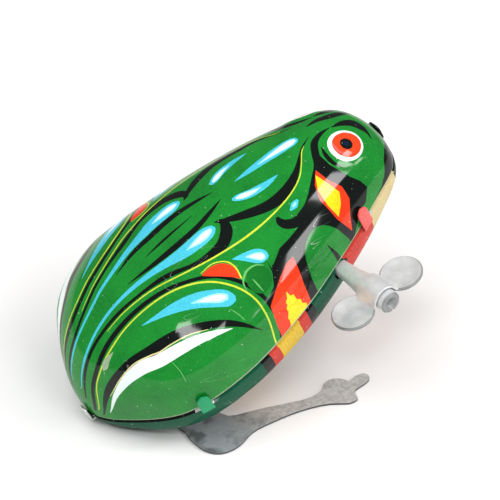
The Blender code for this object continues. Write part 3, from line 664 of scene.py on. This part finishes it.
NEAR_PRINTS = [
    # leaf on the crown
    ("black", stroke([(68.6, 97.5, 0.2), (71.2, 99.5, 1.3), (74, 98, 1.9), (76.5, 99, 1.6),
                      (78, 101, 0.4)])),
    # worn paint and two scratches
    ("mint_scratch_and_sheen", stroke([(30, 37.6, 0.1), (30.5, 32, 0.18), (30.7, 26.7, 0.1)])),
    ("mint_scratch_and_sheen", stroke([(15.3, 39.5, 0.1), (15.2, 32, 0.15), (14.7, 23.8, 0.1)])),
    ("wear_and_edge_sheen", stroke([(9.4, 70, 0.1), (7.6, 68.8, 1.2), (6.6, 66.5, 1.5), (5.9, 64.5, 0.2)])),
]
# The far side's print sits lower on the sheet, by degrees, at the tail and at the head.
FAR_DRIFT = ((0, 16, 30, 56, 67, 80), (5, 5, 0, 0, 12, 12))


def upper_shell():
    prints = list(MIDDLE_PRINTS)
    for ink, outline in SIDE_PRINTS:
        prints += [(ink, outline), (ink, mirrored(outline, FAR_DRIFT))]
    prints += NEAR_PRINTS
    mesh = printed_skin("dome_skin", dome, prints, [], INK_ORDER, 1)
    dress(mesh)
    piece("dome_skin", mesh, "casing", "green_litho", "upper_shell")


# ------------------------------------------------------------------ pan

# Bands of the pan and of its rim from the tail on, as (ink, x where it ends). The rim has some bare stretches of
# its own, and a black stretch at the tail that is partly print and partly painted shade of the gap under the
# dome's edge.
BANDS = (("teal", 28.2), ("black", 30.6), ("brick", 33.0), ("ochre", 39.3), ("brick", 41.8),
         ("black", 44.0), ("teal", 55.0), ("brick", 65.0), ("cream", 75.2), ("black", 80.1))
# Black from 0.3 to 13 mm: partly print, partly painted shade of the gap under the dome's edge.
RIM_BANDS = (("bare", 0.3), ("black", 13.0), ("bare", 16.6), ("teal", 28.2), ("black", 30.6),
             ("brick", 33.0), ("ochre", 39.3), ("brick", 41.8), ("black", 44.0), ("teal", 55.0),
             ("brick", 63.8), ("bare", 66.4), ("cream", 75.2), ("black", 80.1))


# How far the bands lean back over the belly, up to the throat and from there on.
BELLY_LEAN = 7.0
CHIN_LEAN = 3.0
THROAT = 60.0
RIM_ROWS = 260


def band_prints():
    """The pan's bands: straight down its wall, then leaning back over the belly."""
    prints = []
    start = BANDS[0][1]
    for ink, end in BANDS[1:]:
        lean = BELLY_LEAN if end < THROAT else CHIN_LEAN
        end_lean = lean if end < LENGTH else 0.0
        prints.append((ink, corners([(start, -3), (end, -3), (end, 18), (end - end_lean, 60),
                                     (end - end_lean, 90), (start - lean, 90),
                                     (start - lean, 60), (start, 18)])))
        start = end
    return prints


def place_of_pan(x, y=None, z=None):
    """(phi, theta) on the pan of a point underneath, by x and y, or on its right wall, by
    x and z."""
    phi = np.array([to_angles(x, 0)[0]])
    if y is not None:
        wide = station_value(HALF_WIDTH, phi) * (1 + STEP_OUT / max(HALF_WIDTH))
        c = min(abs(y) / wide[0], 1.0) ** (PAN_POWER / 2)
        theta = math.acos(c)
        return phi[0], theta if y < 0 else math.pi - theta
    depth = station_value(PAN_DEPTH, phi)[0] - STEP_DOWN
    down = (station_value(SEAM_LIFT, phi)[0] - STEP_DOWN - z) / depth
    theta = math.asin(min(max(down, 0.0), 1.0) ** (PAN_POWER / 2))
    return phi[0], theta


def pan_holes():
    """Outlines of the key hole and of the slots for the ears and the lugs."""
    hole = []
    for k in range(KEY_HOLE_SIDES):
        a = math.tau * k / KEY_HOLE_SIDES
        hole.append(place_of_pan(KEY_AXIS[0] + KEY_HOLE_R * math.cos(a),
                                 z=KEY_AXIS[1] + KEY_HOLE_R * math.sin(a)))
    outlines = [np.array(hole)]
    low, high, middle, half = EAR_SLOT
    boxes = [(low, high, side * middle - half, side * middle + half) for side in (-1, 1)]
    lug_x, lug_y, lug_half = LUG_SLOT
    boxes += [(x - lug_x, x + lug_x, side * lug_y - lug_half, side * lug_y + lug_half)
              for x in LUGS for side in (-1, 1)]
    for x0, x1, y0, y1 in boxes:
        middle_y = (y0 + y1) / 2
        edge = [(x0 + (x1 - x0) * k / SLOT_STEPS, y0) for k in range(SLOT_STEPS)]
        edge += [(x1, y0), (x1, middle_y)]
        edge += [(x1 + (x0 - x1) * k / SLOT_STEPS, y1) for k in range(SLOT_STEPS)]
        edge += [(x0, y1), (x0, middle_y)]
        outlines.append(np.array([place_of_pan(x, y=y) for x, y in edge]))
    return outlines


def rim_strip():
    """Three loops round the pan's rim: its top inside the dome, the foot of that wall and
    the outer edge of the step."""
    phi = np.linspace(0, math.pi, RIM_ROWS + 1)
    half = LENGTH / 2
    rings = []
    for side in (-1, 1):
        x = (1 - np.cos(phi)) / 2 * LENGTH
        width = station_value(HALF_WIDTH, phi)
        seam = station_value(SEAM_LIFT, phi)
        in_x = half + (x - half) * (1 - RIM_INSET / half)
        in_y = side * width * (1 - RIM_INSET / max(HALF_WIDTH))
        out_y = side * width * (1 + STEP_OUT / max(HALF_WIDTH))
        ring = [(in_x, in_y, seam + RIM_TOP), (in_x, in_y, seam + RIM_FOOT),
                (x, out_y, seam - STEP_DOWN)]
        rings.append([np.stack(line, 1) for line in ring])
    return [np.concatenate([right, left[::-1][1:-1]]) for right, left in zip(*rings)]


def pan_rim():
    """Closed solid of the rim: outer faces follow the step, inner faces lie a sheet inside."""
    top, foot, step = rim_strip()
    middle = np.array([LENGTH / 2, 0, 0])

    def inward(ring, by):
        away = ring - middle
        away[:, 2] = 0
        return ring - away / np.maximum(np.linalg.norm(away, axis=1, keepdims=True), 1e-6) * by
    rings = [step, foot, top, inward(top, TIN), inward(foot, TIN) - np.array([0, 0, TIN]),
             inward(step, TIN) - np.array([0, 0, TIN * 0.4])]
    count = len(top)
    mesh = bpy.data.meshes.new("pan_rim")
    faces = []
    for r in range(len(rings)):
        s = (r + 1) % len(rings)
        faces += [(r * count + k, r * count + (k + 1) % count, s * count + (k + 1) % count,
                   s * count + k) for k in range(count)]
    mesh.from_pydata(to_row(np.concatenate(rings)), [], faces)
    tidy(mesh)
    dress(mesh)
    back = BODY.inverted()
    for face in mesh.polygons:
        x = (back @ (face.center / MM)).x
        ink = next(ink for ink, end in RIM_BANDS if x < end)
        face.material_index = INK_ORDER.index(ink)
    return mesh


def tidy(mesh, angle=35):
    """Welds, drops degenerate faces, points faces outwards and shades smooth."""
    work = bmesh.new()
    work.from_mesh(mesh)
    bmesh.ops.remove_doubles(work, verts=work.verts, dist=MERGE * MM)
    bmesh.ops.dissolve_degenerate(work, edges=work.edges, dist=MERGE / 4 * MM)
    bmesh.ops.recalc_face_normals(work, faces=work.faces)
    work.to_mesh(mesh)
    work.free()
    mesh.shade_smooth()
    mesh.set_sharp_from_angle(angle=math.radians(angle))


def ribbon(path, step):
    """Smooth line through a flat path, with its normals."""
    line = spline(path, step)
    tangent = np.gradient(line, axis=0)
    tangent /= np.linalg.norm(tangent, axis=1, keepdims=True)
    return line, np.stack([-tangent[:, 1], tangent[:, 0]], 1)


def rounded_section(half, deep, rounding):
    """Rectangle with round corners, as (across, through) points round its middle."""
    section = []
    for sx, sy, start in ((1, 1, 0), (-1, 1, 90), (-1, -1, 180), (1, -1, 270)):
        for k in range(4):
            a = math.radians(start + 30 * k)
            section.append((sx * (half - rounding) + rounding * math.cos(a),
                            sy * (deep - rounding) + rounding * math.sin(a)))
    return section


def strip_mesh(path, width, thick, rounding=0.12):
    """Points and faces of a bent strip with rounded edges and a round far end. The path
    is its middle line in (out, up)."""
    line, normal = ribbon(path, 0.35)
    half = width / 2
    section = rounded_section(half, thick / 2, rounding)
    last = len(line) - 1
    points, faces = [], []
    for i, (p, n) in enumerate(zip(line, normal)):
        round_end = 1.0
        reach = half * 0.9
        run = np.linalg.norm(line[last] - p)
        if run < reach:
            round_end = math.sqrt(max(0.02, 1 - (1 - run / reach) ** 2))
        for a, b in section:
            points.append((p[0] + n[0] * b, a * round_end, p[1] + n[1] * b))
    count = len(section)
    for i in range(last):
        faces += [(i * count + k, i * count + (k + 1) % count, (i + 1) * count + (k + 1) % count,
                   (i + 1) * count + k) for k in range(count)]
    faces += [tuple(range(count))[::-1], tuple(last * count + k for k in range(count))]
    return points, faces


def pan_tabs():
    """Fold-over tabs: out of the pan's wall and up over the dome's edge."""
    for number, (phi_degrees, side, width, height) in enumerate(TABS):
        phi = np.array([math.radians(phi_degrees)])
        theta = np.array([0.0 if side < 0 else math.pi])
        place = dome(phi, theta)[0]
        ahead = dome(phi + 0.01, theta)[0] - dome(phi - 0.01, theta)[0]
        if phi_degrees in (0, 180):
            out = np.array([-1.0 if phi_degrees == 0 else 1.0, 0, 0])
        else:
            out = np.array([ahead[1], -ahead[0], 0]) * -side
            out /= np.linalg.norm(out)
        beside = np.cross(np.array([0, 0, 1.0]), out)
        middle = TAB_GAP + TAB_TIN / 2
        low = -STEP_DOWN - 0.7
        path = [(-0.5, low), (middle - 0.35, low), (middle, low + 0.4), (middle, 0),
                (middle, height * 0.7), (middle - 0.12, height)]
        points, faces = strip_mesh(path, width, TAB_TIN)
        spots = [place + out * p + beside * q + np.array([0, 0, r]) for p, q, r in points]
        name = f"pan_tab_{number + 1}"
        mesh = bpy.data.meshes.new(name)
        mesh.from_pydata(to_row(spots), [], faces)
        tidy(mesh)
        mesh.materials.append({0: BARE, 51.5: INKS["emerald"], 126: INKS["rose"],
                               180: INKS["black"]}[phi_degrees])
        piece(name, mesh, "casing", "pan_litho", "lower_shell")


def lower_shell():
    prints = [("teal", corners([(0, 0), (LENGTH, 0), (LENGTH, 180), (0, 180)]))]
    for ink, outline in band_prints():
        prints += [(ink, outline), (ink, mirrored(outline))]
    mesh = printed_skin("pan_skin", pan, prints, pan_holes(), INK_ORDER, -1)
    dress(mesh)
    piece("pan_skin", mesh, "casing", "pan_litho", "lower_shell")
    piece("pan_rim", pan_rim(), "casing", "pan_litho", "lower_shell")
    pan_tabs()


# ------------------------------------------------------------------ key

WING_Y = -28.2
WING_REACH = 6.3
WING_R = 4.3
WING_TILT = math.radians(8.0)
BORE_R = 0.97
# The barrel from its root out: (y, half its width, half its height).
KEY_ROUTE = ((-16.5, 1.55, 1.2), (-19.5, 1.7, 1.3), (-22.5, 2.0, 1.6), (-24.6, 2.25, 2.0),
             (-31.2, 2.25, 2.2), (-32.1, 2.15, 2.1), (-32.4, 1.9, 1.85))


def key_place(points):
    """Key frame (x across the wings, y along the arbor, z up) to the row frame."""
    c, s = math.cos(WING_TILT), math.sin(WING_TILT)
    spots = [(KEY_AXIS[0] + x * c + z * s, y, KEY_AXIS[1] - x * s + z * c) for x, y, z in points]
    return to_row(spots)


def key_barrel():
    """Rolled tube, flattened at its root and round at its open end, with its seam."""
    sides = 56
    rows = []
    for y, wide, high in spline(KEY_ROUTE, 0.5):
        power = 2.0 + 1.6 * min(max((y + 32) / 15, 0), 1)
        ring = []
        for k in range(sides):
            a = math.tau * k / sides
            c, s = math.cos(a), math.sin(a)
            seam = 0.82 if k in (41, 42) else 1.0
            ring.append((math.copysign(abs(c) ** (2 / power), c) * wide * seam, y,
                         math.copysign(abs(s) ** (2 / power), s) * high * seam))
        rows.append(ring)
    for y, radius in ((-32.4, BORE_R + 0.35), (-32.1, BORE_R), (-16.5, BORE_R)):
        rows.append([(radius * math.cos(math.tau * k / sides), y,
                      radius * math.sin(math.tau * k / sides)) for k in range(sides)])
    mesh = lofted("key_barrel", rows, closed=True)
    # The open end and the mouth of the bore take the dark second look: painted shade of the hole.
    end = key_place([(0, -32.0, 0)])[0][1]
    for face in mesh.polygons:
        if face.center.y < end:
            face.material_index = 1
    return mesh


def lofted(name, rows, closed=False):
    """Mesh of rings joined in order, the last back to the first if closed, else capped."""
    count = len(rows[0])
    faces = []
    for r in range(len(rows) if closed else len(rows) - 1):
        s = (r + 1) % len(rows)
        faces += [(r * count + k, r * count + (k + 1) % count, s * count + (k + 1) % count,
                   s * count + k) for k in range(count)]
    if not closed:
        faces += [tuple(range(count))[::-1], tuple((len(rows) - 1) * count + k for k in range(count))]
    mesh = bpy.data.meshes.new(name)
    mesh.from_pydata(key_place([p for row in rows for p in row]), [], faces)
    tidy(mesh, 40)
    return mesh


def key_wing(side):
    """Round wing with a beaded rim and a slightly hollow middle."""
    rim = WING_R
    profile = [(0.02, 0.2), (rim - 2.3, 0.22), (rim - 0.9, 0.26), (rim - 0.55, 0.4),
               (rim - 0.25, 0.42), (rim - 0.04, 0.25), (rim, 0.0)]
    profile += [(r, -z) for r, z in profile[-2::-1]]
    rows = []
    for radius, z in profile:
        rows.append([(side * WING_REACH + radius * math.cos(math.tau * k / 64),
                      WING_Y + radius * math.sin(math.tau * k / 64), z) for k in range(64)])
    mesh = lofted(f"key_wing_{'rear' if side < 0 else 'front'}", rows)
    middle = Vector(key_place([(side * WING_REACH, WING_Y, 0)])[0])
    for face in mesh.polygons:
        if (face.center - middle).length > (WING_R - 0.14) * MM:
            face.material_index = 1
    return mesh


def key_saddle():
    """The wings' sheet where it bends up and over the barrel."""
    half, thick = 2.8, 0.5
    over = [(2.75 * math.cos(math.radians(a)), 2.75 * math.sin(math.radians(a)))
            for a in range(25, 156, 13)]
    path = [(4.0, 0.0), (3.4, 0.05), (2.95, 0.4)] + over + [(-2.95, 0.4), (-3.4, 0.05), (-4.0, 0.0)]
    section = rounded_section(half, thick / 2, 0.2)
    rows = [[(p[0] + n[0] * deep, WING_Y + across, p[1] + n[1] * deep) for across, deep in section]
            for p, n in zip(*ribbon(path, 0.3))]
    return lofted("key_saddle", rows)


def key():
    look = tin("key_tin", (0.8, 0.805, 0.81), (0.3, 0.48), 0.35, (0.27, 0.29, 0.36), 0.06,
               metallic=0.42)
    # Dark grey for the wings' cut rims, and at the barrel's open end, painted shade of the hole.
    edge = tin("key_edge_and_mouth_shade", (0.3, 0.31, 0.31), (0.4, 0.6), 0.4, (0.12, 0.12, 0.13), 0.08,
               metallic=0.4)
    for mesh in (key_barrel(), key_wing(-1), key_wing(1), key_saddle()):
        mesh.materials.append(look)
        mesh.materials.append(edge)
        piece(mesh.name, mesh, "winding", "bright_tin", "key")


# ------------------------------------------------------------------ carried-over nodes

# On a leg's own x, where the heel's painted shade and reflection, darker and bluer, starts and is full; on its z,
# the plate's top, above which a face isn't a cut edge.
HEEL_SHADE = (-0.004, -0.013)
LEG_TOP = (0.00036, 0.00048)


def leg_zinc():
    """Dull zinc with a dark cut edge, painted darker and bluer towards the heel as shade and reflection, with dark
    blotches there that are partly smudges and partly a painted reflection of the body.
    """
    n = Nodes("leg_zinc")
    place = n.tree.nodes.new("ShaderNodeSeparateXYZ")
    n.link(n.coords, place.inputs["Vector"])
    heel = n.remap(place.outputs["X"], *HEEL_SHADE)
    base = n.mix(n.remap(n.noise(1300, 4), 0.35, 0.65), (0.45, 0.45, 0.44), (0.64, 0.64, 0.62))
    # Painted shade and reflection: darker and bluer towards the heel.
    base = n.mix(n.maths("MULTIPLY", heel, 0.75), base, (0.27, 0.31, 0.335))
    # Dark blotches at the heel: partly smudges, partly a painted reflection of the body.
    dirt = n.maths("MULTIPLY", n.remap(n.noise(240, 4), 0.49, 0.62), heel)
    base = n.mix(n.maths("MULTIPLY", dirt, 0.75), base, (0.07, 0.075, 0.08))
    flat = n.remap(place.outputs["Z"], *LEG_TOP)
    base = n.mix(flat, (0.09, 0.09, 0.09), base)
    n.link(base, n.shader.inputs["Base Color"])
    n.shader.inputs["Metallic"].default_value = 0.2
    n.link(n.remap(n.noise(330, 3), 0.3, 0.7, 0.4, 0.58), n.shader.inputs["Roughness"])
    n.bump([(n.noise(150, 3), 0.5, 0.15), (n.noise(1200, 2), 0.3, 0.03)])
    return n.material


def carried_over():
    """Procedural metals for the CAD nodes that stay."""
    looks = {
        "leg_steel": leg_zinc(),
        "works_steel": tin("works_steel", (0.5, 0.5, 0.5), (0.3, 0.5), 0.1, (0.2, 0.17, 0.13), 0.03,
                           (1.0, 1.0, 0.1)),
        "works_brass": tin("works_brass", (0.75, 0.56, 0.25), (0.25, 0.45), 0.1,
                           (0.35, 0.22, 0.1), 0.03),
        "spring_steel": tin("spring_blue", (0.2, 0.23, 0.32), (0.2, 0.4), 0.1,
                            (0.12, 0.1, 0.1), 0.02),
    }
    for part in frame["record"]["subparts"]:
        if part["material_slot"] in looks:
            node = frame["nodes"][part["node"]]
            node.data.materials.clear()
            node.data.materials.append(looks[part["material_slot"]])


# ------------------------------------------------------------------ stage

def floor():
    bpy.ops.mesh.primitive_plane_add(size=4.0, location=(0, 0, -0.0001))
    made = bpy.context.object
    made.name = "floor"
    n = Nodes("studio_paper")
    tone = n.remap(n.noise(30, 3), 0.3, 0.7)
    n.link(n.mix(tone, (0.9, 0.89, 0.89), (0.93, 0.925, 0.92)), n.shader.inputs["Base Color"])
    n.shader.inputs["Roughness"].default_value = 0.9
    made.data.materials.append(n.material)


def soft_box(name, azimuth, elevation, size, radiance):
    """A rectangular soft box aimed at the body, placed by its direction from it."""
    a, e = math.radians(azimuth), math.radians(elevation)
    back = Vector((math.sin(a) * math.cos(e), -math.cos(a) * math.cos(e), math.sin(e)))
    lamp = bpy.data.lights.new(name, "AREA")
    lamp.shape = "RECTANGLE"
    lamp.size, lamp.size_y = size
    lamp.energy = radiance * math.pi * size[0] * size[1]
    made = bpy.data.objects.new(name, lamp)
    made.location = back * LAMP_DISTANCE + Vector((0, 0, 0.02))
    made.rotation_euler = back.to_track_quat("Z", "Y").to_euler()
    bpy.context.scene.collection.objects.link(made)
    return made


def lights():
    """Soft boxes that the varnish mirrors, and two big fills that it doesn't."""
    world = bpy.data.worlds.new("studio")
    world.use_nodes = True
    world.node_tree.nodes["Background"].inputs["Color"].default_value = (1, 1, 1, 1)
    world.node_tree.nodes["Background"].inputs["Strength"].default_value = 0.2
    bpy.context.scene.world = world
    soft_box("box_rear", -48, 47, (0.29, 0.09), 14)
    soft_box("box_middle", -7, 38, (0.3, 0.11), 11)
    soft_box("box_front", 44, 41, (0.13, 0.26), 14)
    soft_box("box_low", 33, 19, (0.11, 0.28), 12)
    for name, azimuth, elevation, radiance in (("fill_left", -110, 62, 3.0),
                                               ("fill_right", 30, 55, 1.6)):
        fill = soft_box(name, azimuth, elevation, (0.8, 0.8), radiance)
        fill.visible_glossy = False


def camera():
    lens = bpy.data.cameras.new("camera")
    lens.lens = CAMERA_LENS
    lens.sensor_width = 36.0
    made = bpy.data.objects.new("camera", lens)
    bpy.context.scene.collection.objects.link(made)
    back = Vector((math.sin(CAMERA_AZIMUTH) * math.cos(CAMERA_ELEVATION),
                   -math.cos(CAMERA_AZIMUTH) * math.cos(CAMERA_ELEVATION),
                   math.sin(CAMERA_ELEVATION)))
    right = Vector((math.cos(CAMERA_AZIMUTH), math.sin(CAMERA_AZIMUTH), 0))
    turn = Matrix((right, back.cross(right), back)).transposed().to_4x4()
    place = (Vector(CAMERA_AIM) + back * CAMERA_DISTANCE) * MM
    made.matrix_world = Matrix.Translation(place) @ turn @ Matrix.Rotation(CAMERA_ROLL, 4, "Z")
    bpy.context.scene.camera = made


floor()
lights()
camera()
upper_shell()
lower_shell()
key()
carried_over()
bpy.context.scene.view_settings.view_transform = "Standard"
